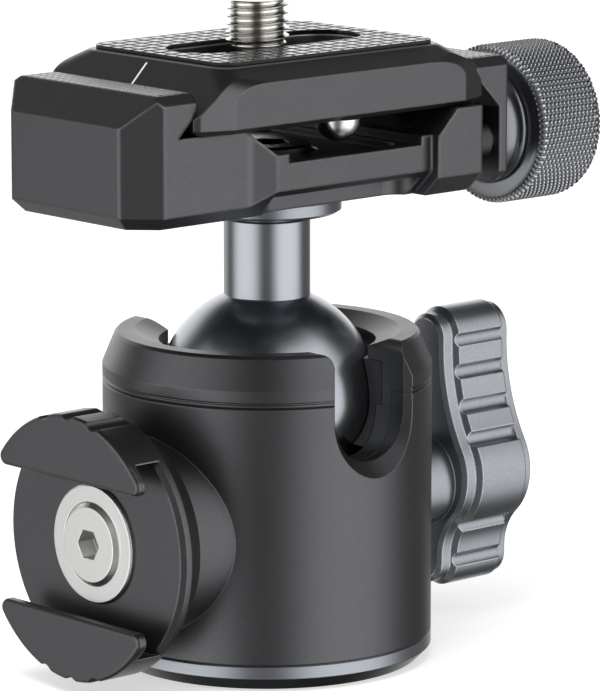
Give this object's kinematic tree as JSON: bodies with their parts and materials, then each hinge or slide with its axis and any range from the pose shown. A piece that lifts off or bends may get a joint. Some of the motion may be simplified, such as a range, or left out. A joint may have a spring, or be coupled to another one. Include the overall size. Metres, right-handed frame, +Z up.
{
  "type": "tripod ball head",
  "caption": "Compact ball head with drop notches, a quick-release dovetail clamp and plate, a knurled knob, a lock lever and a turning cold shoe on its side.",
  "frame": {"origin": "mouth of the tripod thread, in the middle of the base's bottom face", "axes": "+Z up through the ball's stem to the camera screw, +X towards the lock lever and the clamp's knob, -X towards the cold shoe, -Y and +Y through the two drop notches"},
  "size_m": [0.0662, 0.0334, 0.0672],
  "materials": {
    "black_anodised": "fine bead-blasted black anodise",
    "grey_anodised": "satin gun-metal grey anodise, turned and milled",
    "polished_ball": "fine turned, hard anodised, nearly polished",
    "bright_steel": "turned stainless steel",
    "dark_steel": "black-oxide screws",
    "spring_steel": "drawn spring wire",
    "pad_rubber": "matte moulded rubber with a fine diamond pattern",
    "seat_polymer": "bearing polymer",
    "bush_brass": "turned brass"
  },
  "bodies": {
    "housing": {"housing_shell": "black_anodised", "top_ring": "black_anodised", "upper_seat": "seat_polymer", "base_plate": "grey_anodised", "base_screws": "dark_steel", "thread_insert": "bright_steel", "seat_spring": "spring_steel", "lever_bush": "bush_brass", "ring_grub_screws": "dark_steel", "shoe_screw": "bright_steel", "shoe_washer": "bright_steel", "shoe_friction_ring": "seat_polymer"},
    "seat": {"lower_seat": "seat_polymer"},
    "presser": {"presser": "seat_polymer"},
    "ball": {"ball_stem": "polished_ball", "pan_flange": "grey_anodised", "clamp_screw": "dark_steel", "clamp_washer": "bright_steel"},
    "lever": {"lever_arm": "grey_anodised", "lever_spindle": "bright_steel", "lever_cap_screw": "dark_steel"},
    "clamp": {"clamp_body": "black_anodised", "guide_bushes": "bright_steel", "jaw_spring": "spring_steel", "pan_washer": "seat_polymer"},
    "jaw": {"moving_jaw": "black_anodised", "guide_pins": "bright_steel"},
    "knob": {"knob_grip": "grey_anodised", "knob_spindle": "bright_steel", "knob_washer": "bright_steel", "knob_clip": "bright_steel", "knob_screw": "dark_steel"},
    "plate": {"plate": "black_anodised", "plate_pad": "pad_rubber", "safety_studs": "bright_steel"},
    "carriage": {"screw_carriage": "bright_steel"},
    "camera_screw": {"camera_screw": "bright_steel"},
    "shoe": {"cold_shoe": "black_anodised"}
  },
  "joints": [
    {"name": "shoe_turn", "type": "hinge", "parent": "housing", "child": "shoe", "pos_m": [-0.0205, 0, 0.0148], "axis": [1, 0, 0], "continuous": true},
    {"name": "presser_slide", "type": "slide", "parent": "housing", "child": "presser", "axis": [1, 0, 0], "range_m": [0, 0.00034]},
    {"name": "lever_turn", "type": "hinge", "parent": "presser", "child": "lever", "pos_m": [0.02, 0, 0.0148], "axis": [1, 0, 0], "range_deg": [0, 120]},
    {"name": "ball_swing", "type": "hinge", "parent": "housing", "child": "seat", "pos_m": [0, 0, 0.0269], "axis": [0, 0, 1], "range_deg": [0, 180]},
    {"name": "ball_tilt", "type": "hinge", "parent": "seat", "child": "ball", "pos_m": [0, 0, 0.0269], "axis": [1, 0, 0], "range_deg": [-90, 90]},
    {"name": "clamp_pan", "type": "hinge", "parent": "ball", "child": "clamp", "pos_m": [0, 0, 0.0474], "axis": [0, 0, 1], "continuous": true},
    {"name": "jaw_slide", "type": "slide", "parent": "clamp", "child": "jaw", "axis": [1, 0, 0], "range_m": [0, 0.004], "deforming": ["jaw_spring"]},
    {"name": "knob_turn", "type": "hinge", "parent": "jaw", "child": "knob", "pos_m": [0.0348, 0, 0.0514], "axis": [1, 0, 0], "range_deg": [0, 1440]},
    {"name": "plate_slide", "type": "slide", "parent": "clamp", "child": "plate", "axis": [0, 1, 0], "range_m": [-0.03, 0.03]},
    {"name": "screw_slide", "type": "slide", "parent": "plate", "child": "carriage", "axis": [1, 0, 0], "range_m": [-0.0062, 0.0081]},
    {"name": "screw_turn", "type": "hinge", "parent": "carriage", "child": "camera_screw", "pos_m": [-0.00127, 0, 0.0595], "axis": [0, 0, 1], "continuous": true}
  ],
  "couplings": [
    {"joint": "presser_slide", "follows": "lever_turn", "m_per_rad": 0.00015915},
    {"joint": "jaw_slide", "follows": "knob_turn", "m_per_rad": 0.00015915}
  ]
}
